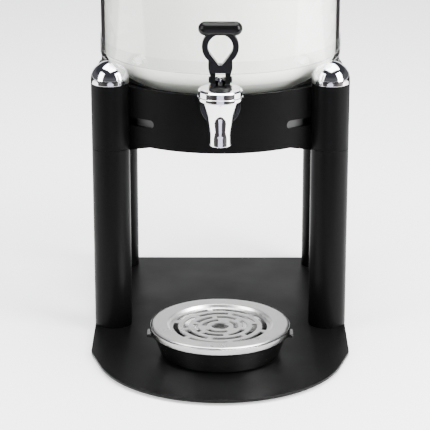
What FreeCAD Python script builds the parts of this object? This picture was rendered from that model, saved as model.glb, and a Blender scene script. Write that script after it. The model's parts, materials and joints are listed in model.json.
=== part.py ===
import FreeCAD, Part
import math
import os
from FreeCAD import Vector

# Gravity milk and juice dispenser. Millimetres, +Z up, the front (tap side) faces -Y.
# The origin is on the resting surface, under the middle of the whole object.

# ---- base plate and feet -------------------------------------------------------------
column_overhang = 0.2        # how far a column's side stands past the plate's edge
plate_thickness = 2.5
plate_corner = 24.0          # rounding where a side meets the front curve
plate_back_corner = 6.0
foot_height = 2.0
foot_radius = 11.0
back_margin = 0.3            # from a rear column's back to the plate's straight back edge
spout_reach = 42.0           # from the tank's wall forward to the spout's axis
front_curve_radius = 110.0   # the plate's front edge is struck about the spout's axis

# ---- columns -------------------------------------------------------------------------
column_radius = 17.0
column_air = 0.42            # between a column and the tank's wall
column_bearing = 39.59       # degrees: a column's direction from the tank's axis
leg_wall = 2.0
leg_height = 169.0           # plate top to the seam under the sleeve
sleeve_height = 59.4
sleeve_wall = 4.0
end_disc = 5.0               # closed end of a leg, drilled for the column bolt
cap_skirt = 2.8              # straight part under the dome
cap_wall = 1.2
bolt_radius = 3.0
bolt_head_radius = 5.6
bolt_clearance = 0.3
bolt_grip = 12.0             # how far the bolt runs up into the dome cap's nut boss

# ---- ring band -----------------------------------------------------------------------
ring_rise = 2.7              # the band's lower edge above the seam in the columns
ring_height = 53.0
ring_wall = 3.0
ring_ledge = 3.0
ring_ledge_width = 12.0
ring_fit = 0.3               # air between the tank and the band
web_angle = 17.0             # degrees from a column's direction to where its web starts
web_drop = 5.2               # how far a web dips below the band at the column
slot_height = 7.6
slot_centre = 21.5           # above the band's lower edge
notch_clearance = 1.0

# ---- tank ----------------------------------------------------------------------------
tank_radius = 110.0
tank_wall = 3.5
tube_length = 215.0
equator_rise = 71.1          # where the dished bottom begins, above the band's lower edge
dish_depth = 41.4
dish_wall = 3.5
dish_crown = 0.908           # crown radius as a share of a half ellipse's
dish_leans = (16.0, 43.0)    # degrees: where crown meets shoulder and shoulder meets knuckle
skirt_wall = 3.0
skirt_gap = 0.3              # air under the skirt, above the seat ring
lip_height = 11.2            # socket lip above the equator
lip_below = 5.3
lip_thickness = 1.0
bond_gap = 0.05
outlet_rise = 44.3           # shank axis above the band's lower edge
outlet_boss_radius = 13.0
pad_reach = 0.4              # how far the boss stands out of the tank's side

# ---- parts inside the ring -----------------------------------------------------------
seat_height = 28.6
seat_wall = 2.5
cradle_wall = 3.0
cradle_fit = 0.4
cradle_opening = 60.0        # radius of the open middle of the cradle
cradle_inset = 12.0          # how far the cup's wall stands inside the tank's radius

# ---- tap -----------------------------------------------------------------------------
spout_radius = 9.3
spout_length = 40.5          # from its tip up to the bonnet's lip
spout_drop = 25.0            # spout's tip below the shank's axis
outlet_bore = 6.4
chamber_radius = 8.3
chamber_top_radius = 13.0
valve_seat = 17.8            # above the spout's tip
bonnet_radius = 19.1
bonnet_height = 10.2
bonnet_lip_height = 3.8
bonnet_wall = 2.6
bonnet_lip = 0.4
thread_gap = 0.05
shank_radius = 8.0
shank_bore = 5.5
shank_grip = 18.0            # length screwed into the tank's boss
collar_radius = 11.0
flange_radius = 18.0
flange_thickness = 2.5
seal_thickness = 1.5
guide_radius = 10.0
guide_thickness = 2.0
guide_spigot = 6.0
stem_radius = 2.6
stem_fit = 0.1
head_radius = 3.4            # widest part of the stem's pear-shaped head
eye_radius = 2.2             # the head at the lever's pin
pin_height = 5.6             # lever pin above the guide
pin_radius = 1.0
pin_fit = 0.05
pin_half_length = 10.4
cup_radius = 7.5
cup_height = 11.0
spring_radius = 5.6
spring_wire = 0.5
spring_turns = 6
moving_gap = 0.3             # air between pieces that move past each other

# ---- lever ---------------------------------------------------------------------------
lever_thickness = 8.0
lever_rounding = 1.2
fork_gap = 4.1               # half the opening between the fork's arms
fork_half_width = 8.6
heel_front = 8.0
heel_back = 5.5
web_gap = 0.3                # air between the stem's head and the web behind it
web_top = 1.0                # above the pin
hub_base = 6.4               # above the pin: where the fork's arms join
hub_half_width = 10.4
hub_top = 17.0               # above the pin
ring_radius = 15.8
ring_middle = 29.3           # centre of the finger ring above the pin
bar_height = 44.6            # T-bar axis above the pin
bar_radius = 6.1
bar_half_length = 18.9
finger_radius = 10.6
finger_tip = 13.4            # lower end of the finger hole above the pin
finger_tip_half_width = 1.5
boss_radius = 2.8

# ---- lid and ice tube ----------------------------------------------------------------
lid_thickness = 2.5
lid_dome = 9.0
lid_rim = 12.0
lid_gap = 0.5
gasket_height = 1.6
ice_radius = 36.0
ice_wall = 2.5
ice_length = 190.0
ice_flange = 8.0
ice_flange_thickness = 2.5
cap_rim = 6.0
knob_radius = 15.0
knob_height = 26.0
knob_screw_radius = 2.0
screw_head = 4.0
screw_recess = 1.8           # the screw's head sits in the cap's underside

# ---- drip tray -----------------------------------------------------------------------
tray_radius = 62.2
tray_taper = 9.7             # how much smaller the bowl is at its foot
tray_height = 26.2
tray_sheet = 1.0
tray_rim = 6.0
tray_tab_length = 13.0
tray_tab_reach = 2.4
tray_tab_drop = 4.7          # underside of a tab below the rim's underside
tray_tab_thickness = 3.0
grille_margin = 2.0          # from the grille's edge to the bowl's outside
grille_proud = 0.9           # the grille's top above the bowl's rim
grille_sheet = 1.2
recess_margin = 15.7         # from the recess to the bowl's outside
recess_depth = 3.0
slot_shares = (0.8495, 0.656, 0.471, 0.3032)  # radii as shares of the recess radius
slot_counts = (6, 6, 6, 3)
slot_turns = (43.0, 13.0, 43.0, 77.0)     # direction of a ring's first bridge, degrees
bridge_widths = (4.2, 4.2, 4.2, 9.6)
grille_slot = 4.6
grille_hole = 7.8

# ---- places worked out from the sizes above --------------------------------------------
plate_top = foot_height + plate_thickness
column_reach = tank_radius + column_air + column_radius
column_half_spacing_x = column_reach * math.cos(math.radians(column_bearing))
column_half_spacing_y = column_reach * math.sin(math.radians(column_bearing))
plate_width = 2 * (column_half_spacing_x + column_radius - column_overhang)
tank_to_back_edge = column_half_spacing_y + column_radius + back_margin
tank_to_spout = tank_radius + spout_reach
lid_outer = tank_radius + lid_gap + lid_thickness
tank_y = (tank_to_spout + front_curve_radius - lid_outer) / 2
spout_y = tank_y - tank_to_spout
plate_front = spout_y - front_curve_radius
plate_back = tank_y + tank_to_back_edge
ring_inner = tank_radius + ring_fit
ring_outer = ring_inner + ring_wall
ring_low = plate_top + leg_height + ring_rise
ring_top = ring_low + ring_height
sleeve_low = plate_top + leg_height
sleeve_top = sleeve_low + sleeve_height
dish_level = ring_low + equator_rise
tube_top = dish_level + tube_length
tube_inner = tank_radius - tank_wall
outlet_z = ring_low + outlet_rise
seat_low = ring_low + ring_ledge
skirt_low = seat_low + seat_height + skirt_gap
tip_z = outlet_z - spout_drop
lip_z = tip_z + spout_length
bonnet_top = lip_z + bonnet_height
guide_top = bonnet_top + guide_thickness
pin_z = guide_top + pin_height
seat_z = tip_z + valve_seat
cup_top = seat_z + moving_gap + cup_height
roof_z = bonnet_top - bonnet_wall
tray_bottom_radius = tray_radius - tray_taper
grille_radius = tray_radius - grille_margin
recess_radius = tray_radius - recess_margin
slot_radii = [share * recess_radius for share in slot_shares]
columns = [("front_left", -1, -1), ("front_right", 1, -1), ("rear_left", -1, 1), ("rear_right", 1, 1)]


def column_place(side_x, side_y):
    return side_x * column_half_spacing_x, tank_y + side_y * column_half_spacing_y


def save(name, shape):
    if not shape.isValid():
        shape = shape.removeSplitter()
    shape.exportStep("parts/" + name + ".step")
    print(name, round(shape.Volume, 1), len(shape.Solids), shape.isValid())


def rounded_wire(points, place):
    """Closed outline. Each point is (a, b) or (a, b, radius); place turns (a, b) into a Vector."""
    count = len(points)
    entries = []
    for index, point in enumerate(points):
        here = Vector(point[0], point[1], 0)
        radius = point[2] if len(point) > 2 else 0.0
        before = Vector(points[index - 1][0], points[index - 1][1], 0)
        after = Vector(points[(index + 1) % count][0], points[(index + 1) % count][1], 0)
        if radius <= 0:
            entries.append((here, None, here))
            continue
        to_before = (before - here).normalize()
        to_after = (after - here).normalize()
        half = to_before.getAngle(to_after) / 2
        reach = radius / math.tan(half)
        bisector = (to_before + to_after).normalize()
        middle = here + bisector * (radius / math.sin(half) - radius)
        entries.append((here + to_before * reach, middle, here + to_after * reach))
    edges = []
    for index, (start, middle, end) in enumerate(entries):
        if middle is not None:
            edges.append(Part.Arc(place(start), place(middle), place(end)).toShape())
        following = entries[(index + 1) % count][0]
        if (following - end).Length > 1e-6:
            edges.append(Part.LineSegment(place(end), place(following)).toShape())
    return Part.Wire(edges)


def lathe(points, x=0.0, y=0.0):
    """Solid of revolution about the vertical line at x, y from (radius, height[, rounding])."""
    wire = rounded_wire(points, lambda p: Vector(x + p.x, y, p.y))
    return Part.Face(wire).revolve(Vector(x, y, 0), Vector(0, 0, 1), 360)


def slab(points, low, high):
    """Flat piece from a plan outline of (x, y[, rounding])."""
    wire = rounded_wire(points, lambda p: Vector(p.x, p.y, low))
    return Part.Face(wire).extrude(Vector(0, 0, high - low))


def front_slab(points, y_low, y_high):
    """Upright piece from a front-view outline of (x, z[, rounding])."""
    wire = rounded_wire(points, lambda p: Vector(p.x, y_low, p.y))
    return Part.Face(wire).extrude(Vector(0, y_high - y_low, 0))


def rod(radius, low, high, x=0.0, y=0.0):
    return Part.makeCylinder(radius, high - low, Vector(x, y, low))


def along_y(radius, y_front, y_back, z, x=0.0):
    return Part.makeCylinder(radius, y_back - y_front, Vector(x, y_front, z), Vector(0, 1, 0))


def box(low, high):
    return Part.makeBox(high[0] - low[0], high[1] - low[1], high[2] - low[2], Vector(*low))


def line(r0, z0, r1, z1):
    return Part.LineSegment(Vector(r0, tank_y, z0), Vector(r1, tank_y, z1)).toShape()


def turned(edges):
    """Solid of revolution about the tank's axis from loose edges that close up."""
    wire = Part.Wire(Part.__sortEdges__(edges))
    return Part.Face(wire).revolve(Vector(0, tank_y, 0), Vector(0, 0, 1), 360)


# ---- base ------------------------------------------------------------------------------
def plate_outline():
    """Straight back and sides; the front is an arc about the spout's axis, met by tangents."""
    half = plate_width / 2
    back = plate_back
    turn = math.acos(front_curve_radius / half) if half > front_curve_radius else 0.0
    touch_x = front_curve_radius * math.cos(turn)
    touch_y = spout_y - front_curve_radius * math.sin(turn)
    front = Vector(0, spout_y - front_curve_radius, foot_height)
    left, right = Vector(-touch_x, touch_y, foot_height), Vector(touch_x, touch_y, foot_height)
    corners = [Vector(half, spout_y, foot_height), Vector(half, back, foot_height),
               Vector(-half, back, foot_height), Vector(-half, spout_y, foot_height)]
    edges = [Part.Arc(left, front, right).toShape(), Part.LineSegment(right, corners[0]).toShape()]
    for start, end in zip(corners, corners[1:]):
        edges.append(Part.LineSegment(start, end).toShape())
    edges.append(Part.LineSegment(corners[-1], left).toShape())
    return Part.Wire(edges)


def make_base_plate():
    plate = Part.Face(plate_outline()).extrude(Vector(0, 0, plate_thickness))
    for radius, y in ((plate_corner, spout_y), (plate_back_corner, plate_back)):
        corners = [e for e in plate.Edges if e.BoundBox.ZLength > plate_thickness / 2
                   and abs(e.BoundBox.Center.y - y) < 0.01]
        plate = plate.makeFillet(radius, corners)
    rims = [e for e in plate.Edges if e.BoundBox.ZLength < 0.01 and e.BoundBox.ZMax > plate_top - 0.01]
    plate = plate.makeFillet(0.6, rims)
    for _, sx, sy in columns:
        x, y = column_place(sx, sy)
        plate = plate.cut(rod(bolt_radius + bolt_clearance, 0, plate_top + 1, x, y))
        head = bolt_head_radius + bolt_clearance
        plate = plate.cut(Part.makeCone(head, bolt_radius + bolt_clearance, head - bolt_radius,
                                        Vector(x, y, foot_height)))
    return plate


def make_feet():
    inset = foot_radius + 12.0
    places = [(0.0, 0.0), (0.0, plate_front + inset)]
    for side in (-1, 1):
        places.append((side * (plate_width / 2 - inset), plate_back - inset - 26.0))
        places.append((side * (plate_width / 2 - inset), spout_y + 20.0))
    pads = [lathe([(0, 0), (foot_radius, 0, 0.5), (foot_radius - 0.6, foot_height), (0, foot_height)], x, y)
            for x, y in places]
    return Part.makeCompound(pads)


def make_leg(x, y):
    inner = column_radius - leg_wall
    profile = [(bolt_radius + bolt_clearance, plate_top), (column_radius, plate_top),
               (column_radius, sleeve_low, 0.5), (inner, sleeve_low),
               (inner, plate_top + end_disc), (bolt_radius + bolt_clearance, plate_top + end_disc)]
    return lathe(profile, x, y)


def make_sleeve(x, y):
    inner = column_radius - sleeve_wall
    hole = bolt_radius + bolt_clearance
    profile = [(inner, sleeve_low), (column_radius, sleeve_low, 0.5), (column_radius, sleeve_top, 0.4),
               (hole, sleeve_top), (hole, sleeve_top - end_disc), (inner, sleeve_top - end_disc)]
    saddle = rod(ring_outer, ring_low, ring_top, 0, tank_y)
    return lathe(profile, x, y).cut(saddle)


def make_dome_cap(x, y):
    """Polished dome with a straight skirt; a nut boss inside takes the column bolt."""
    centre = sleeve_top + cap_skirt
    inner = column_radius - cap_wall
    outside = rod(column_radius, sleeve_top, centre, x, y)
    outside = outside.fuse(Part.makeSphere(column_radius, Vector(x, y, centre), Vector(0, 0, 1), 0, 90, 360))
    inside = rod(inner, sleeve_top, centre, x, y)
    inside = inside.fuse(Part.makeSphere(inner, Vector(x, y, centre), Vector(0, 0, 1), 0, 90, 360))
    boss = rod(bolt_radius + 3.0, sleeve_top, centre + column_radius, x, y)
    cap = outside.cut(inside).fuse(boss.common(outside)).removeSplitter()
    rim = [e for e in cap.Edges if e.BoundBox.ZMax < sleeve_top + 0.01
           and abs(e.BoundBox.XLength - 2 * column_radius) < 0.1]
    cap = cap.makeFillet(0.4, rim)
    return cap.cut(rod(bolt_radius, sleeve_top - 1, sleeve_top + bolt_grip + 0.5, x, y))


def make_column_bolts():
    bolts = []
    for _, sx, sy in columns:
        x, y = column_place(sx, sy)
        head_height = bolt_head_radius - bolt_radius
        head = Part.makeCone(bolt_head_radius, bolt_radius, head_height, Vector(x, y, foot_height))
        shaft = rod(bolt_radius, foot_height + head_height / 2, sleeve_top + bolt_grip, x, y)
        socket = slab(hexagon(2.0, x, y), foot_height - 1, foot_height + 1.4)
        bolts.append(head.fuse(shaft).cut(socket).removeSplitter())
    return Part.makeCompound(bolts)


def hexagon(radius, x, y):
    return [(x + radius * math.cos(math.radians(60 * k)), y + radius * math.sin(math.radians(60 * k)))
            for k in range(6)]


# ---- ring band --------------------------------------------------------------------------
def make_webs(x, y):
    """Two flat webs, each tangent to the band and running to the side of one column."""
    direction = Vector(x, y - tank_y, 0).normalize()
    webs = []
    for side in (-1, 1):
        across = Vector(-direction.y * side, direction.x * side, 0)
        angle = math.radians(web_angle)
        start = (direction * math.cos(angle) + across * math.sin(angle)) * ring_outer
        along = direction * math.sin(angle) - across * math.cos(angle)
        inward = start * (-1.0 / ring_outer)
        length = ring_outer * math.sin(angle) - column_radius / 2
        base = Vector(0, tank_y, 0) + start
        corners = [(0, ring_low), (length, ring_low - web_drop * 1.15), (length, ring_top), (0, ring_top)]
        points = [base + along * t + Vector(0, 0, z) for t, z in corners]
        wire = Part.makePolygon(points + [points[0]])
        webs.append(Part.Face(wire).extrude(inward * ring_wall))
    return webs


def make_slot_cutter(x, y):
    heading = math.degrees(math.atan2(y - tank_y, x))
    low = ring_low + slot_centre - slot_height / 2
    reach = ring_outer + 8.0
    profile = rounded_wire([(ring_inner - 6.0, low), (reach, low), (reach, low + slot_height),
                            (ring_inner - 6.0, low + slot_height)],
                           lambda p: Vector(p.x, tank_y, p.y))
    cutter = Part.Face(profile).revolve(Vector(0, tank_y, 0), Vector(0, 0, 1), 2 * web_angle)
    cutter.rotate(Vector(0, tank_y, 0), Vector(0, 0, 1), heading - web_angle)
    for side in (-1, 1):
        turn = math.radians(heading + side * web_angle)
        outward = Vector(math.cos(turn), math.sin(turn), 0)
        foot = Vector(0, tank_y, low + slot_height / 2) + outward * (ring_inner - 6.0)
        cutter = cutter.fuse(Part.makeCylinder(slot_height / 2, ring_wall + 14.0, foot, outward))
    return cutter


def tap_notch(half_width, y_back):
    """Way for the tap's shank, open at the top so the tank can be lifted out."""
    front = tank_y - ring_outer - 10
    lower = along_y(half_width, front, y_back, outlet_z)
    return lower.fuse(box((-half_width, front, outlet_z), (half_width, y_back, ring_top + 60)))


def make_ring_band():
    band = rod(ring_outer, ring_low, ring_top, 0, tank_y)
    for _, sx, sy in columns:
        for web in make_webs(*column_place(sx, sy)):
            band = band.fuse(web)
    for _, sx, sy in columns:
        x, y = column_place(sx, sy)
        outside = rod(column_radius, ring_low - 20, ring_top, x, y)
        inside_band = rod(ring_outer, ring_low, ring_top, 0, tank_y)
        band = band.cut(outside.cut(inside_band))
    band = band.cut(rod(ring_inner, ring_low + ring_ledge, ring_top + 1, 0, tank_y))
    band = band.cut(rod(ring_inner - ring_ledge_width, ring_low - 20, ring_top, 0, tank_y))
    band = band.cut(rod(ring_inner, ring_low - 20, ring_low, 0, tank_y))
    for _, sx, sy in columns:
        band = band.cut(make_slot_cutter(*column_place(sx, sy)))
    band = band.cut(tap_notch(collar_radius + notch_clearance, tank_y - tank_radius / 2))
    return band.removeSplitter()


def make_seat_ring():
    ring = rod(tank_radius, seat_low, seat_low + seat_height, 0, tank_y)
    ring = ring.cut(rod(tank_radius - seat_wall, seat_low - 1, seat_low + seat_height + 1, 0, tank_y))
    return ring.cut(tap_notch(outlet_boss_radius + notch_clearance, tank_y - tank_radius / 2))


def make_tank_cradle():
    """Cup with a foot flange on the ring's ledge; it follows the dish and is open in the middle."""
    foot = tank_radius - skirt_wall - ring_fit
    outer = tank_radius - cradle_inset
    inner = outer - cradle_wall
    top, top_low, top_high = dish_edges(dish_wall + cradle_fit, cradle_opening, outer)
    under, under_low, under_high = dish_edges(dish_wall + cradle_fit + cradle_wall, cradle_opening, inner)
    cup = turned(top + under + [line(outer, seat_low, outer, top_high),
                                line(cradle_opening, top_low, cradle_opening, under_low),
                                line(inner, under_high, inner, seat_low),
                                line(inner, seat_low, outer, seat_low)])
    flange = lathe([(inner + 1, seat_low), (foot, seat_low), (foot, seat_low + cradle_wall, 0.8),
                    (inner + 1, seat_low + cradle_wall)], 0, tank_y)
    return cup.fuse(flange).removeSplitter().cut(tap_notch(outlet_boss_radius + notch_clearance, tank_y))


def dish_arcs():
    """Crown, shoulder and knuckle of the dished bottom: (radius, lean where it starts, lean where
    it ends). Each meets the next on a common tangent; a lean is measured from straight down."""
    first, second = (math.radians(lean) for lean in dish_leans)
    crown = dish_crown * tube_inner ** 2 / dish_depth
    across = tube_inner - crown * math.sin(first)
    down = dish_depth - crown * (1.0 - math.cos(first))
    shoulder_across, shoulder_down = math.sin(second) - math.sin(first), math.cos(first) - math.cos(second)
    knuckle_across, knuckle_down = 1.0 - math.sin(second), math.cos(second)
    whole = shoulder_across * knuckle_down - knuckle_across * shoulder_down
    shoulder = (across * knuckle_down - down * knuckle_across) / whole
    knuckle = (shoulder_across * down - shoulder_down * across) / whole
    return [(crown, 0.0, first), (shoulder, first, second), (knuckle, second, math.pi / 2)]


def dish_edges(offset, r_start, r_end):
    """Edges of the dish moved outward by offset, between two radii, and the heights they reach."""
    edges, heights = [], []
    centre_r, centre_z, before = 0.0, dish_level - dish_depth, 0.0
    for radius, start, end in dish_arcs():
        centre_r += (before - radius) * math.sin(start)
        centre_z -= (before - radius) * math.cos(start)
        before = radius
        size = radius + offset
        start = max(start, math.asin(max(-1.0, min(1.0, (r_start - centre_r) / size))))
        end = min(end, math.asin(max(-1.0, min(1.0, (r_end - centre_r) / size))))
        if end - start < 1e-4:
            continue
        points = [Vector(centre_r + size * math.sin(lean), tank_y, centre_z - size * math.cos(lean))
                  for lean in (start, (start + end) / 2, end)]
        edges.append(Part.Arc(*points).toShape())
        heights += [points[0].z, points[2].z]
    return edges, heights[0], heights[-1]


def make_tank_base():
    """Moulded bottom: dished floor, skirt, socket lip for the tube and the tap's boss."""
    skirt_inner = tank_radius - skirt_wall
    lip_inner = tank_radius + bond_gap
    lip_outer = tank_radius + lip_thickness
    low = dish_level - lip_below
    inside, inside_low, _ = dish_edges(0.0, 0.0, tube_inner)
    outside, outside_low, joint_z = dish_edges(dish_wall, 0.0, skirt_inner)
    body = turned(inside + outside
                  + [line(tube_inner, dish_level, lip_inner, dish_level),
                     line(lip_inner, dish_level, lip_inner, dish_level + lip_height),
                     line(lip_inner, dish_level + lip_height, lip_outer, dish_level + lip_height),
                     line(lip_outer, dish_level + lip_height, lip_outer, low + lip_thickness * 2),
                     line(lip_outer, low + lip_thickness * 2, tank_radius, low),
                     line(tank_radius, low, tank_radius, skirt_low),
                     line(tank_radius, skirt_low, skirt_inner, skirt_low),
                     line(skirt_inner, skirt_low, skirt_inner, joint_z),
                     line(0, inside_low, 0, outside_low)])
    face_y = tank_y - tank_radius
    boss = along_y(outlet_boss_radius, face_y + 1.0, tank_y - 40, outlet_z)
    boss = boss.fuse(along_y(collar_radius, face_y - pad_reach, face_y + 5, outlet_z))
    middle, middle_low, middle_high = dish_edges(dish_wall / 2, 0.0, tube_inner)
    above = dish_level + 1.0
    boss = boss.cut(turned(middle + [line(tube_inner, middle_high, tube_inner, above),
                                     line(tube_inner, above, 0, above), line(0, above, 0, middle_low)]))
    body = body.fuse(boss)
    body = body.cut(along_y(shank_radius, face_y - 5, face_y + shank_grip + 1, outlet_z))
    body = body.cut(along_y(shank_bore, face_y, tank_y - 40, outlet_z))
    return body.removeSplitter()


def make_tank_tube():
    return lathe([(tube_inner, dish_level), (tank_radius, dish_level), (tank_radius, tube_top, 1.2),
                  (tube_inner, tube_top, 1.2)], 0, tank_y)


# ---- tap --------------------------------------------------------------------------------
def spout_outline():
    """Outer radius of the spout against height above its tip."""
    return [(spout_radius, 0.0, 1.0), (spout_radius, 11.0, 30.0), (spout_radius + 2.6, 26.0, 40.0),
            (bonnet_radius - 2.2, spout_length - 0.5), (bonnet_radius - 2.2, spout_length)]


def make_tap_body():
    outside = [(0, tip_z)] + [(p[0], tip_z + p[1]) + tuple(p[2:]) for p in spout_outline()]
    neck = bonnet_radius - bonnet_wall - thread_gap
    top = roof_z - thread_gap
    outside += [(neck, lip_z), (neck, top), (0, top)]
    body = lathe(outside, 0, spout_y)
    shank_end = tank_y - tank_radius + shank_grip
    shank = along_y(shank_radius, spout_y, shank_end, outlet_z)
    collar = along_y(collar_radius - 1.5, spout_y, tank_y - tank_radius - seal_thickness, outlet_z)
    seal_front = tank_y - tank_radius - seal_thickness
    shoulder = along_y(collar_radius, tank_y - ring_outer - 6.5, seal_front, outlet_z)
    body = body.fuse(shank).fuse(collar).fuse(shoulder)
    chamber = lathe([(0, seat_z), (chamber_radius, seat_z), (chamber_radius, seat_z + 12.0, 4.0),
                     (chamber_top_radius, lip_z), (chamber_top_radius, top + 1), (0, top + 1)], 0, spout_y)
    bore = lathe([(0, tip_z - 1), (outlet_bore + 1.2, tip_z - 1), (outlet_bore + 1.2, tip_z),
                  (outlet_bore, tip_z + 3.0), (outlet_bore, seat_z + 1), (0, seat_z + 1)], 0, spout_y)
    way = along_y(shank_bore, spout_y, shank_end + 1, outlet_z)
    return body.cut(chamber).cut(bore).cut(way).removeSplitter()


def make_tap_flange():
    front = tank_y - ring_outer - 0.6 - flange_thickness
    plate = along_y(flange_radius, front, front + flange_thickness, outlet_z)
    rim = [e for e in plate.Edges if abs(e.BoundBox.YMax - front) < 0.01 and e.BoundBox.XLength > 1]
    plate = plate.makeFillet(1.4, rim)
    return plate.cut(along_y(collar_radius, front - 1, front + flange_thickness + 1, outlet_z))


def make_shank_seal():
    face_y = tank_y - tank_radius
    ring = along_y(collar_radius, face_y - seal_thickness, face_y - pad_reach, outlet_z)
    return ring.cut(along_y(shank_radius, face_y - 5, face_y + 5, outlet_z))


def make_tap_bonnet():
    inner = bonnet_radius - bonnet_wall
    hole = guide_radius - 2.5
    outer = bonnet_radius + bonnet_lip
    return lathe([(inner, lip_z), (outer, lip_z, 1.2), (outer, lip_z + bonnet_lip_height, 0.8),
                  (bonnet_radius, lip_z + bonnet_lip_height + 0.3), (bonnet_radius, bonnet_top - 1.4, 0.4),
                  (bonnet_radius - 1.6, bonnet_top, 0.6), (hole, bonnet_top), (hole, roof_z),
                  (inner, roof_z)], 0, spout_y)


def make_stem_guide():
    hole = stem_radius + stem_fit
    spigot = guide_radius - 2.5
    low = roof_z - guide_spigot
    return lathe([(hole, low), (spigot, low), (spigot, bonnet_top), (guide_radius, bonnet_top),
                  (guide_radius, guide_top, 0.6), (hole, guide_top)], 0, spout_y)


def make_valve_stem():
    """Rod with a pear-shaped head, drilled across for the lever's pin."""
    foot_z = seat_z + 3.0
    profile = [(0, foot_z), (stem_radius + 2.0, foot_z), (stem_radius + 2.0, foot_z + 2.0),
               (stem_radius, foot_z + 3.0), (stem_radius, guide_top + moving_gap),
               (head_radius, guide_top + moving_gap + 0.6, 0.6), (head_radius - 0.2, pin_z - 3.6, 2.0),
               (eye_radius, pin_z - 1.2, 2.0), (eye_radius, pin_z + 2.0, 0.9), (0, pin_z + 2.0)]
    stem = lathe(profile, 0, spout_y)
    return stem.cut(Part.makeCylinder(pin_radius, 40, Vector(-20, spout_y, pin_z), Vector(1, 0, 0)))


def make_seat_cup():
    """Soft plug that closes the outlet; it grips the stem's foot."""
    low = seat_z + moving_gap
    cup = lathe([(0, low), (outlet_bore + 0.4, low), (cup_radius, low + 2.0, 0.8),
                 (cup_radius, low + 7.0, 2.0), (cup_radius - 1.6, cup_top, 0.6), (0, cup_top)], 0, spout_y)
    return cup.cut(make_valve_stem())


def make_valve_spring():
    low, high = cup_top + moving_gap + spring_wire, roof_z - guide_spigot - spring_wire
    pitch = (high - low) / spring_turns
    helix = Part.makeHelix(pitch, high - low, spring_radius)
    start = Vector(spring_radius, 0, 0)
    tangent = Vector(0, 2 * math.pi * spring_radius, pitch).normalize()
    circle = Part.Wire(Part.makeCircle(spring_wire, start, tangent))
    coil = Part.Wire(helix).makePipeShell([circle], True, True)
    coil.translate(Vector(0, spout_y, low))
    return coil


def make_lever_pin():
    pin = Part.makeCylinder(pin_radius, 2 * pin_half_length, Vector(-pin_half_length, spout_y, pin_z),
                            Vector(1, 0, 0))
    ends = [e for e in pin.Edges if e.BoundBox.XLength < 0.01 and e.BoundBox.ZLength > pin_radius]
    return pin.makeChamfer(0.3, ends)


def mirrored(points):
    """A left-right symmetric outline from its right half, listed from the top down."""
    left = [(-p[0],) + tuple(p[1:]) for p in reversed(points)]
    return points + left


def make_tap_lever():
    """T-bar, finger ring, hub and a fork whose heels roll on the stem guide."""
    half = lever_thickness / 2
    bar_z = pin_z + bar_height
    ring_z = pin_z + ring_middle
    hub = front_slab(mirrored([(hub_half_width, pin_z + hub_top, 0.8),
                               (hub_half_width, pin_z + hub_base + 4.0, 3.0),
                               (fork_half_width, pin_z + hub_base - 3.4)]),
                     spout_y - half, spout_y + half)
    neck = front_slab(mirrored([(ring_radius - 4.6, bar_z), (ring_radius - 4.6, ring_z + 10.0)]),
                      spout_y - half, spout_y + half)
    body = eased(along_y(ring_radius, spout_y - half, spout_y + half, ring_z))
    body = body.fuse(eased(hub)).fuse(neck)
    hole = finger_hole(ring_z)
    body = body.cut(hole)
    bar = Part.makeCylinder(bar_radius, 2 * (bar_half_length - bar_radius),
                            Vector(-(bar_half_length - bar_radius), spout_y, bar_z), Vector(1, 0, 0))
    for side in (-1, 1):
        end_x = side * (bar_half_length - bar_radius)
        bar = bar.fuse(Part.makeSphere(bar_radius, Vector(end_x, spout_y, bar_z)))
    body = body.fuse(bar)
    heel_low = guide_top + moving_gap
    for side in (-1, 1):
        low_x, high_x = sorted((side * fork_gap, side * fork_half_width))
        arm = side_slab([(-heel_front, heel_low, 1.2), (heel_back, heel_low, 2.5),
                         (half, pin_z + hub_base), (-half, pin_z + hub_base),
                         (-heel_front, heel_low + 4.0, 1.5)], low_x, high_x)
        boss = Part.makeCylinder(boss_radius, pin_half_length - 0.4 - fork_gap,
                                 Vector(side * fork_gap, spout_y, pin_z), Vector(side, 0, 0))
        body = body.fuse(arm).fuse(boss)
    window = box((-fork_gap, spout_y - 20, heel_low - 1), (fork_gap, spout_y + 20, pin_z + hub_base))
    web = box((-fork_gap - 1, spout_y + head_radius + web_gap, heel_low),
              (fork_gap + 1, spout_y + heel_back, pin_z + web_top))
    body = body.cut(window).fuse(web)
    hole = Part.makeCylinder(pin_radius + pin_fit, 60, Vector(-30, spout_y, pin_z), Vector(1, 0, 0))
    return body.cut(hole).removeSplitter()


def eased(shape):
    """The same upright slab with its front and back edges rounded."""
    outline = [e for e in shape.Edges if e.BoundBox.YLength < 0.01]
    return shape.makeFillet(lever_rounding, outline)


def finger_hole(centre_z):
    """Round at the top, with straight sides closing to a narrow blunt tip."""
    depth = lever_thickness + 4
    tip_z = pin_z + finger_tip
    across, down = finger_tip_half_width, centre_z - tip_z
    reach = math.hypot(across, down)
    heading = math.atan2(down, -across) - math.asin(finger_radius / reach)
    length = math.sqrt(reach ** 2 - finger_radius ** 2)
    touch_x, touch_z = across + length * math.cos(heading), tip_z + length * math.sin(heading)
    wedge = front_slab(mirrored([(touch_x, touch_z), (across, tip_z)]),
                       spout_y - depth / 2, spout_y + depth / 2)
    return wedge.fuse(along_y(finger_radius, spout_y - depth / 2, spout_y + depth / 2, centre_z))


def side_slab(points, x_low, x_high):
    """Upright piece from a side-view outline of (y from the spout's axis, z[, rounding])."""
    wire = rounded_wire(points, lambda p: Vector(x_low, spout_y + p.x, p.y))
    return Part.Face(wire).extrude(Vector(x_high - x_low, 0, 0))


# ---- lid and ice tube -------------------------------------------------------------------
def lid_levels():
    seat = tube_top + gasket_height + moving_gap
    return seat, seat + lid_thickness + lid_dome


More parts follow.
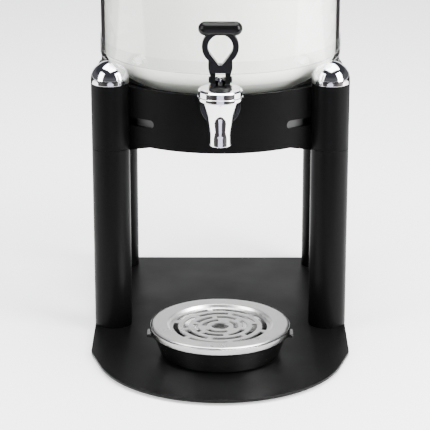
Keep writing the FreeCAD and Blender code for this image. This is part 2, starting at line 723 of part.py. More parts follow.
def make_tank_lid():
    seat, top = lid_levels()
    rim_in = tank_radius + lid_gap
    rim_out = rim_in + lid_thickness
    hole = ice_radius + moving_gap
    flat = hole + ice_flange + 6.0
    return lathe([(rim_in, seat - lid_rim), (rim_out, seat - lid_rim, 0.8), (rim_out, seat + 1.0, 5.0),
                  (rim_out - 22.0, top - 1.5, 30.0), (flat, top, 20.0), (hole, top),
                  (hole, top - lid_thickness), (flat, top - lid_thickness, 20.0),
                  (rim_out - 22.0, top - 1.5 - lid_thickness, 20.0), (rim_in, seat, 1.0)], 0, tank_y)


def make_lid_gasket():
    low = tube_top + moving_gap
    inner, outer = tube_inner - 1.5, tank_radius
    return lathe([(inner, low), (outer, low), (outer, low + gasket_height), (inner, low + gasket_height)],
                 0, tank_y)


def make_ice_tube():
    _, top = lid_levels()
    flange_low = top + moving_gap
    flange_top = flange_low + ice_flange_thickness
    low = flange_low - ice_length
    inner = ice_radius - ice_wall
    return lathe([(0, low), (ice_radius, low, 14.0), (ice_radius, flange_low),
                  (ice_radius + ice_flange, flange_low, 0.4), (ice_radius + ice_flange, flange_top, 0.8),
                  (inner, flange_top, 0.6), (inner, low + ice_wall, 11.5), (0, low + ice_wall)], 0, tank_y)


def cap_levels():
    _, top = lid_levels()
    low = top + moving_gap + ice_flange_thickness + moving_gap
    return low, low + 4.0


def make_ice_cap():
    low, top = cap_levels()
    outer = ice_radius + ice_flange
    plug = ice_radius - ice_wall - moving_gap
    hole = knob_screw_radius + 0.2
    under, recess = low + 1.0, low + 1.0 + screw_recess
    return lathe([(hole, recess), (screw_head + 0.3, recess), (screw_head + 0.3, under),
                  (plug - 2.0, under), (plug - 2.0, low - cap_rim),
                  (plug, low - cap_rim, 0.5), (plug, low), (outer, low, 0.5), (outer, low + 1.4, 1.0),
                  (outer - 14.0, top, 12.0), (hole, top)], 0, tank_y)


def make_cap_knob():
    _, low = cap_levels()
    knob = lathe([(0, low), (8.0, low, 0.8), (6.0, low + 8.0, 4.0), (knob_radius, low + 14.0, 5.0),
                  (knob_radius, low + knob_height - 5.0, 5.0), (knob_radius - 6.0, low + knob_height, 6.0),
                  (0, low + knob_height)], 0, tank_y)
    return knob.cut(rod(knob_screw_radius, low - 1, low + 12.0, 0, tank_y))


def make_knob_screw():
    low, top = cap_levels()
    seat = low + 1.0 + screw_recess
    head_z = seat - 1.6
    screw = lathe([(0, head_z), (screw_head, head_z, 0.6), (screw_head, seat), (knob_screw_radius, seat),
                   (knob_screw_radius, top + 11.0), (0, top + 11.0)], 0, tank_y)
    return screw.cut(box((-3.0, tank_y - 0.5, head_z - 1), (3.0, tank_y + 0.5, head_z + 0.8)))


# ---- drip tray --------------------------------------------------------------------------
def make_drip_bowl():
    """Tapered bowl with an inner ledge under the grille, an upright rim and two side tabs."""
    low = plate_top + moving_gap
    top = plate_top + tray_height
    rim_low = top - tray_rim
    rim_in = tray_radius - tray_sheet
    wall_top = tray_radius - 2.8
    bowl = lathe([(0, low), (tray_bottom_radius, low, 2.5), (wall_top, rim_low - 0.6, 1.0),
                  (tray_radius, rim_low, 1.6), (tray_radius, top, 0.45), (rim_in, top, 0.45),
                  (rim_in, rim_low + tray_sheet, 0.5), (wall_top - tray_sheet, rim_low + 0.4, 1.0),
                  (tray_bottom_radius - tray_sheet, low + tray_sheet, 2.0), (0, low + tray_sheet)],
                 0, spout_y)
    for side in (-1, 1):
        low_x, high_x = sorted((side * (tray_radius - 5.0), side * (tray_radius + tray_tab_reach)))
        half = tray_tab_length / 2
        tab_low = rim_low - tray_tab_drop
        tab = slab([(low_x, spout_y - half), (high_x, spout_y - half, 0.8),
                    (high_x, spout_y + half, 0.8), (low_x, spout_y + half)],
                   tab_low, tab_low + tray_tab_thickness)
        bowl = bowl.fuse(tab)
    hollow = lathe([(0, low + tray_sheet), (tray_bottom_radius - tray_sheet, low + tray_sheet),
                    (wall_top - tray_sheet, rim_low), (0, rim_low)], 0, spout_y)
    return bowl.cut(hollow).removeSplitter()


def make_grille():
    """Flanged grille: a wide rim, a shallow recess and rings of bridged slots."""
    top = plate_top + tray_height + grille_proud
    floor = top - recess_depth
    sheet = grille_sheet
    skirt_z = plate_top + tray_height - tray_rim + tray_sheet + moving_gap
    grille = lathe([(0, floor - sheet), (recess_radius - 1.5 + 0.3, floor - sheet, 1.0),
                    (recess_radius + sheet, top - sheet, 0.5), (grille_radius - sheet, top - sheet),
                    (grille_radius - sheet, skirt_z), (grille_radius, skirt_z), (grille_radius, top, 0.9),
                    (recess_radius, top, 0.8), (recess_radius - 1.5, floor, 0.6), (0, floor)], 0, spout_y)
    grille = grille.cut(rod(grille_hole, floor - 5, floor + 5, 0, spout_y))
    for radius, count, turn, bridge in zip(slot_radii, slot_counts, slot_turns, bridge_widths):
        grille = grille.cut(slot_ring(radius, count, turn, bridge, floor))
    return grille


def slot_ring(radius, count, turn, bridge, floor):
    """One ring of curved slots with bridges of the given width left between them."""
    half = grille_slot / 2
    gap = math.degrees(bridge / radius)
    pieces = []
    for index in range(count):
        profile = rounded_wire([(radius - half, floor - 4), (radius + half, floor - 4),
                                (radius + half, floor + 4), (radius - half, floor + 4)],
                               lambda p: Vector(p.x, spout_y, p.y))
        sector = Part.Face(profile).revolve(Vector(0, spout_y, 0), Vector(0, 0, 1), 360 / count - gap)
        sector.rotate(Vector(0, spout_y, 0), Vector(0, 0, 1), turn + gap / 2 + index * 360 / count)
        pieces.append(sector)
    return Part.makeCompound(pieces)


def main():
    os.makedirs("parts", exist_ok=True)
    save("base_plate", make_base_plate())
    save("base_feet", make_feet())
    save("column_bolts", make_column_bolts())
    for name, sx, sy in columns:
        x, y = column_place(sx, sy)
        save("leg_" + name, make_leg(x, y))
        save("sleeve_" + name, make_sleeve(x, y))
        save("dome_cap_" + name, make_dome_cap(x, y))
    save("ring_band", make_ring_band())
    save("seat_ring", make_seat_ring())
    save("tank_cradle", make_tank_cradle())
    save("tank_base", make_tank_base())
    save("tank_tube", make_tank_tube())
    save("tap_body", make_tap_body())
    save("tap_flange", make_tap_flange())
    save("shank_seal", make_shank_seal())
    save("tap_bonnet", make_tap_bonnet())
    save("stem_guide", make_stem_guide())
    save("valve_stem", make_valve_stem())
    save("seat_cup", make_seat_cup())
    save("valve_spring", make_valve_spring())
    save("lever_pin", make_lever_pin())
    save("tap_lever", make_tap_lever())
    save("tank_lid", make_tank_lid())
    save("lid_gasket", make_lid_gasket())
    save("ice_tube", make_ice_tube())
    save("ice_cap", make_ice_cap())
    save("cap_knob", make_cap_knob())
    save("knob_screw", make_knob_screw())
    save("drip_bowl", make_drip_bowl())
    save("drip_grille", make_grille())


main()
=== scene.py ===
# %% [markdown]
# # A milk and juice dispenser, dressed
# This lesson takes the finished metal and plastic parts of a counter-top dispenser and gives them
# their looks. The parts arrive as a fixed frame, already in place and in metres, so nothing here is
# moved or fitted. We choose the eye's place first, then the finishes, then the few pieces that only
# a picture needs, and the light comes last.

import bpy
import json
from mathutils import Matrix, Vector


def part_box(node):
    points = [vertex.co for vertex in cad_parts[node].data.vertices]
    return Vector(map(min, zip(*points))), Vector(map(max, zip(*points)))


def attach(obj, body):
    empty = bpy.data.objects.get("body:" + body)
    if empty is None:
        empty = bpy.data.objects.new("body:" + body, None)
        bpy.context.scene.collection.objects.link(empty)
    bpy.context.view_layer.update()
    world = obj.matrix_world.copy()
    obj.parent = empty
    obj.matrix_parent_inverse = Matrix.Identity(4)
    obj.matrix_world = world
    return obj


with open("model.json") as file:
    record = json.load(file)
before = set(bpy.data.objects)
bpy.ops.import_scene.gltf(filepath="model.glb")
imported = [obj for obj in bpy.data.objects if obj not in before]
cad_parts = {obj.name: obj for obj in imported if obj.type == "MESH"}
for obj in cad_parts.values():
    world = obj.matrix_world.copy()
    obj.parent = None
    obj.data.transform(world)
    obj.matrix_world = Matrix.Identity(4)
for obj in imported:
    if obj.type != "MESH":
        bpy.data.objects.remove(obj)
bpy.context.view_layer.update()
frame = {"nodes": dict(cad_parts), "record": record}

# %% Tools and handy values
import json
import math

import bmesh
import bpy
from mathutils import Vector

MM = 0.001
nodes = frame["nodes"]


def middle(node):
    """Centre of a part's box."""
    low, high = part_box(node)
    return (Vector(low) + Vector(high)) / 2


tank_middle = middle("tank_tube")
tray_middle = middle("drip_bowl")
print("The tank stands at y", round(tank_middle.y, 4), "and the tray at y", round(tray_middle.y, 4))

# %% [markdown]
# ## The eye
# A product picture is taken from far off with a long lens, so that columns stay nearly parallel.
# The eye is 1.75 m in front of the frame's origin and nearly 0.2 m above the dispenser's top,
# looking down at the tap. The tank's top leaves the picture, which brings the tap and the tray
# close. A camera needs only a place, a turn and a lens.

# %% Camera
EYE = Vector((0.0, -1.7504, 0.6875))
LOOK_DOWN, LOOK_LEFT = math.radians(18.363), math.radians(0.156)
LENS, SENSOR = 169.37, 36.0
NEAREST, FURTHEST = 0.05, 60.0
camera_data = bpy.data.cameras.new("long_lens")
camera_data.lens, camera_data.sensor_width = LENS, SENSOR
camera_data.clip_start, camera_data.clip_end = NEAREST, FURTHEST
camera = bpy.data.objects.new("eye", camera_data)
camera.location = EYE
camera.rotation_euler = (math.radians(90) - LOOK_DOWN, 0.0, LOOK_LEFT)
bpy.context.scene.collection.objects.link(camera)
bpy.context.scene.camera = camera
print("Lens", camera_data.lens, "mm, looking down", round(math.degrees(LOOK_DOWN), 2), "degrees")

# %% [markdown]
# ## How a finish is made
# Real surfaces are never one flat value. Powder coat has an orange-peel skin, polished metal
# carries faint haze where it is handled, and moulded plastic has a soft unevenness. Each finish
# below starts from the same shader and adds two things: an unevenness of gloss and a very small
# relief. The patterns are read from object coordinates, which here are metres, so a scale of 1000
# means features about a millimetre across.

# %% The start of every finish
class Finish:
    """One material with its nodes close at hand."""

    def __init__(self, name, colour, roughness, metallic=0.0):
        self.material = bpy.data.materials.new(name)
        self.material.use_nodes = True
        self.tree = self.material.node_tree
        self.shader = self.tree.nodes["Principled BSDF"]
        self.output = self.tree.nodes["Material Output"]
        self.shader.inputs["Base Color"].default_value = (*colour, 1.0)
        self.shader.inputs["Roughness"].default_value = roughness
        self.shader.inputs["Metallic"].default_value = metallic
        self.place = self.tree.nodes.new("ShaderNodeTexCoord").outputs["Object"]
        self.relief = None

    def link(self, start, end):
        self.tree.links.new(start, end)

    def noise(self, scale, detail=3.0, stretch=(1.0, 1.0, 1.0), softness=0.5):
        """Cloudy pattern with features about 1 / scale metres across."""
        mapping = self.tree.nodes.new("ShaderNodeMapping")
        mapping.inputs["Scale"].default_value = stretch
        pattern = self.tree.nodes.new("ShaderNodeTexNoise")
        pattern.inputs["Scale"].default_value = scale
        pattern.inputs["Detail"].default_value = detail
        pattern.inputs["Roughness"].default_value = softness
        self.link(self.place, mapping.inputs["Vector"])
        self.link(mapping.outputs["Vector"], pattern.inputs["Vector"])
        return pattern.outputs["Fac"]

    def spread(self, value, low, high, start=0.3, end=0.7):
        """A pattern's values from start to end, turned into numbers from low to high."""
        change = self.tree.nodes.new("ShaderNodeMapRange")
        limits = {"From Min": start, "From Max": end, "To Min": low, "To Max": high}
        for name, number in limits.items():
            change.inputs[name].default_value = number
        self.link(value, change.inputs["Value"])
        return change.outputs["Result"]

    def tints(self, value, colours):
        """Colours along a pattern: (position, colour) pairs."""
        ramp = self.tree.nodes.new("ShaderNodeValToRGB")
        while len(ramp.color_ramp.elements) < len(colours):
            ramp.color_ramp.elements.new(1.0)
        for stop, (position, colour) in zip(ramp.color_ramp.elements, colours):
            stop.position, stop.color = position, (*colour, 1.0)
        self.link(value, ramp.inputs["Fac"])
        return ramp.outputs["Color"]

    def roughness(self, value):
        self.link(value, self.shader.inputs["Roughness"])

    def colour(self, value):
        self.link(value, self.shader.inputs["Base Color"])

    def bump(self, height, distance, strength):
        """Small relief, distance in metres; a second call adds to the first."""
        bump = self.tree.nodes.new("ShaderNodeBump")
        bump.inputs["Strength"].default_value = strength
        bump.inputs["Distance"].default_value = distance
        self.link(height, bump.inputs["Height"])
        if self.relief:
            self.link(self.relief, bump.inputs["Normal"])
        self.relief = bump.outputs["Normal"]
        self.link(self.relief, self.shader.inputs["Normal"])


def axis_distance(finish, centre):
    """How far a point lies from an upright axis through centre."""
    shift = finish.tree.nodes.new("ShaderNodeVectorMath")
    shift.operation = "SUBTRACT"
    shift.inputs[1].default_value = (centre.x, centre.y, 0.0)
    finish.link(finish.place, shift.inputs[0])
    flat = finish.tree.nodes.new("ShaderNodeVectorMath")
    flat.operation = "MULTIPLY"
    flat.inputs[1].default_value = (1.0, 1.0, 0.0)
    length = finish.tree.nodes.new("ShaderNodeVectorMath")
    length.operation = "LENGTH"
    finish.link(shift.outputs["Vector"], flat.inputs[0])
    finish.link(flat.outputs["Vector"], length.inputs[0])
    return length.outputs["Value"]


print("Finish kit ready")

# %% [markdown]
# ## Powder coat
# The columns, their sleeves and the ring are steel with a satin black powder coat. Powder flows out
# unevenly in the oven and leaves a fine orange peel, and dust dulls it in soft patches. Two reliefs
# and a wide noise for the gloss do this. The base plate's coat shines a little more, and the lid's
# is a lighter black. No shade is zero, since black paint never is.

# %% Satin black powder coat
ORANGE_PEEL = ((900.0, 2.0, 0.05 * MM, 0.5), (170.0, 1.0, 0.03 * MM, 0.4))


def powder_coat(name, shade, gloss_low, gloss_high, shine):
    """Black paint; both gloss values are roughness, and shine is how much it mirrors."""
    paint = Finish(name, (shade, shade, shade), gloss_low)
    paint.shader.inputs["Specular IOR Level"].default_value = shine
    clouds = paint.noise(18.0, detail=4.0)
    specks = paint.noise(1400.0, detail=2.0)
    paint.roughness(paint.spread(clouds, gloss_low, gloss_high))
    dark, light = (shade * 0.8,) * 3, (shade * 1.35, shade * 1.3, shade * 1.4)
    paint.colour(paint.tints(specks, [(0.35, dark), (0.75, light)]))
    for scale, detail, depth, strength in ORANGE_PEEL:
        paint.bump(paint.noise(scale, detail=detail), depth, strength)
    return paint.material


BLACK, LID_BLACK = 0.0025, 0.010
frame_paint = powder_coat("satin_black_powder_coat", BLACK, 0.32, 0.42, shine=0.045)
plate_paint = powder_coat("satin_black_plate", BLACK, 0.36, 0.46, shine=0.09)
lid_paint = powder_coat("satin_black_lid", LID_BLACK, 0.3, 0.4, shine=0.2)
print("Made", [m.name for m in (frame_paint, plate_paint, lid_paint)])

# %% [markdown]
# ## Bright metals
# The column caps and the tap are chrome on polished metal: almost a mirror, with a faint haze and a
# slow waviness left by the polishing wheel. The tap's flange is the same plate with its colour made
# much darker, a painted shade for the dark it mirrors. The tray is stainless sheet, spun and
# polished, so its fine marks run in circles about its own axis; its colour is darkened, a painted
# shade for the dark inside under the grille and the dark its wall mirrors. The grille is the same
# sheet lightened, a painted highlight, and the ring under the tank is darker and duller, its darker
# colour a painted shade for the dark inside the band. The bolts, the knob's screw, the lever's pin
# and the valve's spring are plain steel.

# %% Chrome and steels
RING_MARKS = 2600.0


def chrome(name, shade=1.0):
    """Polished plate; a shade below 1 darkens it."""
    metal = Finish(name, (0.83 * shade, 0.83 * shade, 0.85 * shade), 0.05, metallic=1.0)
    haze = metal.noise(60.0, detail=5.0)
    metal.roughness(metal.spread(haze, 0.035, 0.085))
    dull = [c * shade for c in (0.80, 0.80, 0.83)]
    bright = [c * shade for c in (0.88, 0.88, 0.89)]
    metal.colour(metal.tints(haze, [(0.2, dull), (0.8, bright)]))
    metal.bump(metal.noise(45.0, detail=1.0), 0.03 * MM, 0.35)
    return metal.material


def spun_steel(name, centre, gloss_low, gloss_high, shade):
    """Sheet with fine marks in circles about the upright axis through centre."""
    metal = Finish(name, (shade, shade, shade), gloss_low, metallic=1.0)
    distance = axis_distance(metal, centre)
    rings = metal.tree.nodes.new("ShaderNodeTexNoise")
    rings.noise_dimensions = "1D"
    rings.inputs["Scale"].default_value = RING_MARKS
    rings.inputs["Detail"].default_value = 3.0
    metal.link(distance, rings.inputs["W"])
    patches = metal.noise(40.0, detail=4.0)
    metal.roughness(metal.spread(patches, gloss_low, gloss_high))
    dull, bright = (shade * 0.92,) * 3, (shade * 1.08, shade * 1.075, shade * 1.06)
    metal.colour(metal.tints(rings.outputs["Fac"], [(0.25, dull), (0.75, bright)]))
    metal.bump(rings.outputs["Fac"], 0.02 * MM, 0.35)
    metal.bump(metal.noise(55.0, detail=1.0), 0.04 * MM, 0.35)
    return metal.material


def plain_steel(name):
    """Screws, pins and springs."""
    metal = Finish(name, (0.45, 0.45, 0.46), 0.3, metallic=1.0)
    marks = metal.noise(500.0, detail=4.0, stretch=(1.0, 1.0, 0.2))
    metal.roughness(metal.spread(marks, 0.24, 0.42))
    metal.bump(marks, 0.03 * MM, 0.3)
    return metal.material


chrome_plate = chrome("chrome_plate")
# Painted shade: the flange's chrome colour is darkened to a few percent for the dark it mirrors.
flange_chrome_painted_dark = chrome("chrome_flange_painted_shade", shade=0.03)
# Painted highlight: the grille's stainless colour is lightened.
grille_steel_painted_light = spun_steel("spun_stainless_grille_painted_highlight", tray_middle, 0.26, 0.36, shade=0.95)
# Painted shade: the tray's stainless colour is darkened for its dark inside and its dark wall.
tray_steel_painted_shade = spun_steel("spun_stainless_tray_painted_shade", tray_middle, 0.12, 0.2, shade=0.33)
# Painted shade: the ring's colour is darkened for the dark inside the band; its higher roughness is
# the duller sheet.
ring_steel_painted_shade = spun_steel("rolled_stainless_ring_painted_shade", tank_middle, 0.5, 0.62, shade=0.07)
screw_steel = plain_steel("turned_steel")
metals = (chrome_plate, flange_chrome_painted_dark, grille_steel_painted_light, tray_steel_painted_shade, ring_steel_painted_shade, screw_steel)
print("Made", [m.name for m in metals])

# %% [markdown]
# ## Black plastics, rubber and seals
# The lever is moulded in a glossy black that picks up small bright edges. The stem's guide and the
# tank's cradle are matte mouldings with a fine spark-eroded grain. The feet are rubber pads, and
# the seals are pale silicone, which is slightly cloudy, so a little light is let into it.

# %% Moulded finishes
def moulding(name, shade, gloss_low, gloss_high, grain, shine=0.2):
    """Dark plastic or rubber; grain is the depth of its fine relief in metres."""
    plastic = Finish(name, (shade, shade, shade), gloss_low)
    plastic.shader.inputs["Specular IOR Level"].default_value = shine
    plastic.roughness(plastic.spread(plastic.noise(120.0, detail=3.0), gloss_low, gloss_high))
    dark, light = (shade * 0.85,) * 3, (shade * 1.25,) * 3
    plastic.colour(plastic.tints(plastic.noise(700.0), [(0.3, dark), (0.8, light)]))
    plastic.bump(plastic.noise(1500.0, detail=2.0), grain, 0.5)
    plastic.bump(plastic.noise(130.0, detail=1.0), 0.04 * MM, 0.3)
    return plastic.material


def silicone(name):
    """Pale seal that lets a little light in."""
    soft = Finish(name, (0.62, 0.62, 0.59), 0.45)
    soft.shader.inputs["Subsurface Weight"].default_value = 0.2
    soft.shader.inputs["Subsurface Scale"].default_value = 2.0 * MM
    soft.roughness(soft.spread(soft.noise(200.0), 0.4, 0.55))
    clouds = soft.noise(90.0)
    soft.colour(soft.tints(clouds, [(0.3, (0.58, 0.58, 0.55)), (0.7, (0.66, 0.66, 0.64))]))
    soft.bump(soft.noise(1200.0), 0.03 * MM, 0.4)
    return soft.material


lever_plastic = moulding("glossy_black_lever", 0.003, 0.1, 0.16, grain=0.01 * MM, shine=0.13)
black_plastic = moulding("matte_black_moulding", 0.008, 0.42, 0.55, grain=0.04 * MM)
foot_rubber = moulding("black_rubber", 0.02, 0.65, 0.8, grain=0.06 * MM)
soft_seal = silicone("pale_silicone")
print("Made", [m.name for m in (lever_plastic, black_plastic, foot_rubber, soft_seal)])

# %% [markdown]
# ## Clear plastic
# The tank is clear plastic. Light has to reach the drink inside it, and a renderer that only bends
# light through the wall would leave the drink too dark and noisy. The usual answer is to let lamps
# see a plain transparent sheet while the eye sees real bending plastic. Very fine scuffs keep it
# from looking like air. The tank's moulded bottom and the ice tube pass light straight through.
# Their plastic shows only where it is seen edge-on, as a dark colour painted in as shade for the
# dark that a thick clear wall shows there, and nearly all of that is in the skirt, outside the
# drink.

# %% Clear plastic
PLASTIC_BEND = 1.49
SKIRT_FROM, SKIRT_TO = 106.4 * MM, 106.8 * MM


def clear_plastic(name, haze_low, haze_high):
    """A clear wall that bends light for the eye and lets the lamps' light straight through."""
    clear = Finish(name, (0.985, 0.995, 0.99), haze_low)
    clear.shader.inputs["Transmission Weight"].default_value = 1.0
    clear.shader.inputs["IOR"].default_value = PLASTIC_BEND
    scuffs = clear.noise(350.0, detail=6.0, stretch=(1.0, 1.0, 0.35), softness=0.65)
    clear.roughness(clear.spread(scuffs, haze_low, haze_high, start=0.45, end=0.8))
    clear.bump(clear.noise(14.0, detail=1.0), 0.2 * MM, 0.15)
    lamps_pass = clear.tree.nodes.new("ShaderNodeBsdfTransparent")
    lamps_pass.inputs["Color"].default_value = (0.96, 0.97, 0.965, 1.0)
    which_ray = clear.tree.nodes.new("ShaderNodeLightPath")
    choose = clear.tree.nodes.new("ShaderNodeMixShader")
    clear.link(which_ray.outputs["Is Shadow Ray"], choose.inputs["Fac"])
    clear.link(clear.shader.outputs["BSDF"], choose.inputs[1])
    clear.link(lamps_pass.outputs["BSDF"], choose.inputs[2])
    clear.link(choose.outputs["Shader"], clear.output.inputs["Surface"])
    return clear.material


def thin_clear_plastic(name, tint, painted_edge_shade, haze):
    """A clear moulding with so many edges that bending the light would only make clutter; edge-on
    it shows a painted dark shade.
    """
    clear = Finish(name, tint, haze)
    passing = clear.tree.nodes.new("ShaderNodeBsdfTransparent")
    passing.inputs["Color"].default_value = (*tint, 1.0)
    clear.shader.inputs["Base Color"].default_value = (*painted_edge_shade, 1.0)
    clear.shader.inputs["IOR"].default_value = PLASTIC_BEND
    clear.roughness(clear.spread(clear.noise(300.0, detail=5.0), haze, haze + 0.06))
    # Painted shade: a dark colour where the moulding is seen edge-on, kept to the skirt.
    facing = clear.tree.nodes.new("ShaderNodeLayerWeight")
    facing.inputs["Blend"].default_value = 0.5
    edge = clear.spread(facing.outputs["Facing"], 0.03, 0.85, start=0.72, end=0.99)
    distance = axis_distance(clear, tank_middle)
    in_skirt = clear.spread(distance, 0.04, 1.0, start=SKIRT_FROM, end=SKIRT_TO)
    solid = clear.tree.nodes.new("ShaderNodeMath")
    solid.operation = "MULTIPLY"
    clear.link(edge, solid.inputs[0])
    clear.link(in_skirt, solid.inputs[1])
    choose = clear.tree.nodes.new("ShaderNodeMixShader")
    clear.link(solid.outputs["Value"], choose.inputs["Fac"])
    clear.link(passing.outputs["BSDF"], choose.inputs[1])
    clear.link(clear.shader.outputs["BSDF"], choose.inputs[2])
    clear.link(choose.outputs["Shader"], clear.output.inputs["Surface"])
    return clear.material


tube_clear = clear_plastic("clear_tank_wall", 0.01, 0.05)
base_clear = thin_clear_plastic("clear_moulded_bottom", tint=(0.985, 0.99, 0.985),
                                painted_edge_shade=(0.05, 0.05, 0.05), haze=0.06)
print("Made", tube_clear.name, "and", base_clear.name)

# %% [markdown]
# ## Put the finishes on the parts
# Every part names a slot for its finish. One table joins slots to the materials above. Four parts
# look different from the rest of their slot, so a second table tells them apart by name: the ring
# under the tank and the tap's flange, darkened as painted shade, the grille, lightened as a painted
# highlight, and the base plate, whose coat shines more.

# %% Dress the parts
FINISH_OF_SLOT = {
    "frame_paint": frame_paint, "chrome_plate": chrome_plate, "stainless": tray_steel_painted_shade,
    "screw_steel": screw_steel, "clear_plastic": tube_clear, "clear_moulding": base_clear,
    "black_plastic": black_plastic, "lever_plastic": lever_plastic, "lid_paint": lid_paint,
    "foot_rubber": foot_rubber, "soft_seal": soft_seal,
}
FINISH_OF_PART = {
    "seat_ring": ring_steel_painted_shade, "drip_grille": grille_steel_painted_light,
    "tap_flange": flange_chrome_painted_dark, "base_plate": plate_paint,
}
slot_of_part = {part["node"]: part["material_slot"] for part in frame["record"]["subparts"]}
for name, part in nodes.items():
    finish = FINISH_OF_PART.get(name, FINISH_OF_SLOT[slot_of_part[name]])
    part.data.materials.clear()
    part.data.materials.append(finish)
print("Dressed", len(nodes), "parts")

# %% [markdown]
# ## The drink
# The milk isn't a part, but the dispenser is shown full, so it is made here. It is the space inside
# the tank: a curved floor that follows the dished bottom, straight sides, a hole where the ice tube
# hangs, and a top that is nearly flat and curls up at both walls. A profile turned about the tank's
# axis gives all of it as one closed mesh. It stays a tenth of a millimetre inside the plastic, so
# the two surfaces never fight.

# %% A turned mesh
TURN_STEPS, POLE_RADIUS, CREASE = 192, 1e-7, math.radians(35)


def turned(name, profile, centre, finish, body):
    """Turns (radius, height) points about an upright axis through centre; radius 0 is a pole."""
    mesh = bmesh.new()
    rings = []
    for radius, height in profile:
        if radius < POLE_RADIUS:
            rings.append([mesh.verts.new((centre.x, centre.y, height))])
            continue
        turns = [2 * math.pi * step / TURN_STEPS for step in range(TURN_STEPS)]
        circle = [(centre.x + radius * math.cos(t), centre.y + radius * math.sin(t))
                  for t in turns]
        rings.append([mesh.verts.new((x, y, height)) for x, y in circle])
    for lower, upper in zip(rings, rings[1:]):
        for step in range(TURN_STEPS):
            ahead = (step + 1) % TURN_STEPS
            corners = [lower[step % len(lower)], lower[ahead % len(lower)],
                       upper[ahead % len(upper)], upper[step % len(upper)]]
            mesh.faces.new(list(dict.fromkeys(corners)))
    bmesh.ops.recalc_face_normals(mesh, faces=mesh.faces)
    data = bpy.data.meshes.new(name)
    mesh.to_mesh(data)
    mesh.free()
    data.materials.append(finish)
    data.shade_smooth()
    data.set_sharp_from_angle(angle=CREASE)
    piece = bpy.data.objects.new(name, data)
    bpy.context.scene.collection.objects.link(piece)
    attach(piece, body)
    print("Turned", name, "with", len(data.polygons), "faces")


# %% Milk's finish
MILK_TINT, MILK_GLOW = (0.82, 0.83, 0.79), 0.08


def drink(name):
    """Milk: some light goes in, and a faint glow stands for what is scattered about inside."""
    milk = Finish(name, MILK_TINT, 0.22)
    milk.shader.inputs["Subsurface Weight"].default_value = 0.12
    milk.shader.inputs["Subsurface Scale"].default_value = 4.0 * MM
    milk.shader.inputs["Subsurface Radius"].default_value = (1.0, 0.8, 0.6)
    milk.shader.inputs["Emission Color"].default_value = (*MILK_TINT, 1.0)
    milk.shader.inputs["Emission Strength"].default_value = MILK_GLOW
    swirl = milk.noise(9.0, detail=3.0)
    milk.colour(milk.tints(swirl, [(0.3, (0.80, 0.81, 0.755)), (0.7, (0.835, 0.84, 0.79))]))
    milk.roughness(milk.spread(milk.noise(30.0), 0.2, 0.3))
    return milk.material


milk_white = drink("milk")

# %% Milk in the tank
WALL_GAP = 0.1 * MM
DISH_DEPTH, TANK_INNER, DISH_LEVEL = 41.4 * MM, 106.5 * MM, 247.3 * MM
MILK_TOP, SIDE_STEPS = 446.0 * MM, 12
ICE_OUTER = 36.0 * MM
WALL_CURL, TUBE_CURL = (3 * MM, 0.6 * MM), (4 * MM, 0.8 * MM)
DISH_CROWN, DISH_LEANS = 0.908, (math.radians(16.0), math.radians(43.0))


def dish_profile(inset, points_per_arc=14):
    """Three tangent arcs of the dished bottom, from the axis outward, inset into the tank."""
    first, second = DISH_LEANS
    crown = DISH_CROWN * TANK_INNER ** 2 / DISH_DEPTH
    across = TANK_INNER - crown * math.sin(first)
    down = DISH_DEPTH - crown * (1.0 - math.cos(first))
    a, b = math.sin(second) - math.sin(first), 1.0 - math.sin(second)
    c, d = math.cos(first) - math.cos(second), math.cos(second)
    shoulder = (across * d - down * b) / (a * d - b * c)
    knuckle = (a * down - c * across) / (a * d - b * c)
    centre_r, centre_z, before = 0.0, DISH_LEVEL - DISH_DEPTH, 0.0
    points = []
    arcs = ((crown, 0.0, first), (shoulder, first, second), (knuckle, second, math.pi / 2))
    for radius, start, end in arcs:
        centre_r += (before - radius) * math.sin(start)
        centre_z -= (before - radius) * math.cos(start)
        before = radius
        for step in range(points_per_arc):
            lean = start + (end - start) * step / points_per_arc
            size = radius - inset
            across_here = max(0.0, centre_r + size * math.sin(lean))
            points.append((across_here, centre_z - size * math.cos(lean)))
    points.append((TANK_INNER - inset, DISH_LEVEL))
    return points


ice_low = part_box("ice_tube")[0]
outer = dish_profile(WALL_GAP)
sides = [(TANK_INNER - WALL_GAP, DISH_LEVEL + (MILK_TOP - DISH_LEVEL) * step / SIDE_STEPS)
         for step in range(1, SIDE_STEPS + 1)]
surface = [(TANK_INNER - WALL_CURL[0], MILK_TOP - WALL_CURL[1]),
           (ICE_OUTER + TUBE_CURL[0], MILK_TOP - TUBE_CURL[1]),
           (ICE_OUTER + WALL_GAP, MILK_TOP)]
ice_hole = [(ICE_OUTER + WALL_GAP, ice_low[2] - WALL_GAP), (0.0, ice_low[2] - WALL_GAP)]
profile = outer + sides + surface + ice_hole
turned("milk_in_tank", profile, tank_middle, milk_white, "tank")

# %% [markdown]
# ## Floor and light
# The dispenser stands on a pale floor that glows, so that it reads as white paper. Two tall soft
# boxes stand at its sides, the right one stronger, a wide one hangs overhead and a dim one stands
# far behind. The room beyond is dim, because black paint, chrome and clear plastic all need
# something dark to mirror: a fully white room would turn the paint grey. Dark cards lie on the
# floor in front and at the back corners, and two glowing lilac strips lie on the front one. Only
# mirrors and the clear wall's edge can see them.

# %% Floor and cards
PAPER_SHINE = 0.05


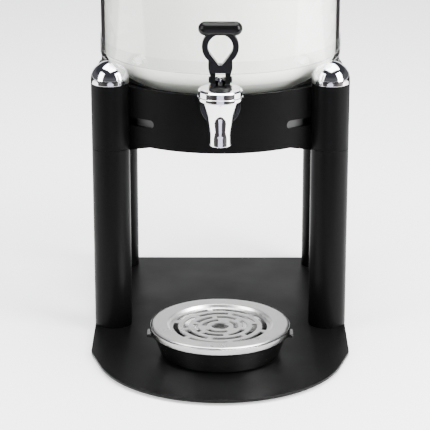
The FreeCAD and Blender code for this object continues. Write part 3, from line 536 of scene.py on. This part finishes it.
def flat_card(name, x_low, x_high, y_low, y_high, height, colour, roughness, glow=0.0):
    """A level sheet of paper, staged and not part of the dispenser."""
    mesh = bmesh.new()
    corners = [(x_low, y_low), (x_high, y_low), (x_high, y_high), (x_low, y_high)]
    mesh.faces.new([mesh.verts.new((x, y, height)) for x, y in corners])
    data = bpy.data.meshes.new(name)
    mesh.to_mesh(data)
    mesh.free()
    paper = Finish(name + "_paper", colour, roughness)
    paper.shader.inputs["Specular IOR Level"].default_value = PAPER_SHINE
    paper.roughness(paper.spread(paper.noise(6.0), roughness - 0.05, roughness + 0.05))
    if glow:
        paper.shader.inputs["Emission Color"].default_value = (*colour, 1.0)
        paper.shader.inputs["Emission Strength"].default_value = glow
    data.materials.append(paper.material)
    card = bpy.data.objects.new(name, data)
    bpy.context.scene.collection.objects.link(card)
    return card


def for_mirrors_only(card):
    """Hides a card from the eye and from soft light, and leaves it in reflections."""
    card.visible_camera = card.visible_diffuse = card.visible_shadow = False


FLOOR_HALF, FLOOR_LEVEL, FLOOR_WHITE, FLOOR_GLOW = 8.0, -0.5 * MM, (0.93, 0.93, 0.93), 0.7
DARK, LILAC, LILAC_GLOW = (0.012, 0.010, 0.010), (0.36, 0.35, 0.46), 0.4
CARD_LEVEL, STRIP_LEVEL, CARD_ROUGHNESS = 1.0 * MM, 2.0 * MM, 0.8
flat_card("floor", -FLOOR_HALF, FLOOR_HALF, -FLOOR_HALF, FLOOR_HALF, FLOOR_LEVEL, FLOOR_WHITE, 0.85,
          glow=FLOOR_GLOW)
CARD_SIDES = (
    ("dark_card_front", (-3.0, 3.0, -4.0, -0.26), CARD_LEVEL, DARK, 0.0),
    ("lilac_strip_near", (-0.075, 0.075, -0.55, -0.30), STRIP_LEVEL, LILAC, LILAC_GLOW),
    ("lilac_strip_far", (-0.27, 0.27, -4.0, -0.55), STRIP_LEVEL, LILAC, LILAC_GLOW),
    ("dark_corner_left", (-3.0, -0.30, 0.55, 4.0), CARD_LEVEL, DARK, 0.0),
    ("dark_corner_right", (0.34, 3.0, 0.55, 4.0), CARD_LEVEL, DARK, 0.0),
)
cards = [flat_card(name, *sides, level, colour, CARD_ROUGHNESS, glow=glow)
         for name, sides, level, colour, glow in CARD_SIDES]
for card in cards:
    for_mirrors_only(card)
print("Floor and", len(cards), "cards laid")


# %% Lamps
def soft_box(name, place, target, width, height, power):
    """A rectangular lamp that faces its target."""
    data = bpy.data.lights.new(name, "AREA")
    data.shape, data.size, data.size_y = "RECTANGLE", width, height
    data.energy = power
    lamp = bpy.data.objects.new(name, data)
    lamp.location = place
    lamp.rotation_euler = (Vector(target) - Vector(place)).to_track_quat("-Z", "Y").to_euler()
    bpy.context.scene.collection.objects.link(lamp)


LAMP_AIM, WALL_HEIGHT = (0.0, 0.0, 0.22), 0.49
SIDE_BOX, TOP_BOX, WALL_BOX = (0.8, 1.3), (1.8, 1.8), (2.6, 0.98)
soft_box("box_right", (1.25, -0.75, 0.75), LAMP_AIM, *SIDE_BOX, power=84)
soft_box("box_left", (-1.25, -0.75, 0.75), LAMP_AIM, *SIDE_BOX, power=34)
soft_box("box_top", (0.1, 0.1, 1.8), LAMP_AIM, *TOP_BOX, power=130)
soft_box("paper_wall", (0.0, 2.4, WALL_HEIGHT), (0.0, 0.0, WALL_HEIGHT), *WALL_BOX, power=14)

# %% Room
FADE_FROM, FADE_TO = 0.28, 0.46
LOWER_ROOM, UPPER_ROOM = (0.12, 0.12, 0.13), (0.05, 0.05, 0.06)
room = bpy.data.worlds.new("studio_room")
room.use_nodes = True
bpy.context.scene.world = room
tree = room.node_tree
backdrop = tree.nodes["Background"]
direction = tree.nodes.new("ShaderNodeTexCoord")
split = tree.nodes.new("ShaderNodeSeparateXYZ")
height = tree.nodes.new("ShaderNodeMapRange")
shade = tree.nodes.new("ShaderNodeValToRGB")
tree.links.new(direction.outputs["Generated"], split.inputs["Vector"])
for name, number in zip(("From Min", "From Max"), (FADE_FROM, FADE_TO)):
    height.inputs[name].default_value = number
tree.links.new(split.outputs["Z"], height.inputs["Value"])
tree.links.new(height.outputs["Result"], shade.inputs["Fac"])
shade.color_ramp.elements[0].color = (*LOWER_ROOM, 1.0)
shade.color_ramp.elements[1].color = (*UPPER_ROOM, 1.0)
tree.links.new(shade.outputs["Color"], backdrop.inputs["Color"])
backdrop.inputs["Strength"].default_value = 1.0
print("Room lit")
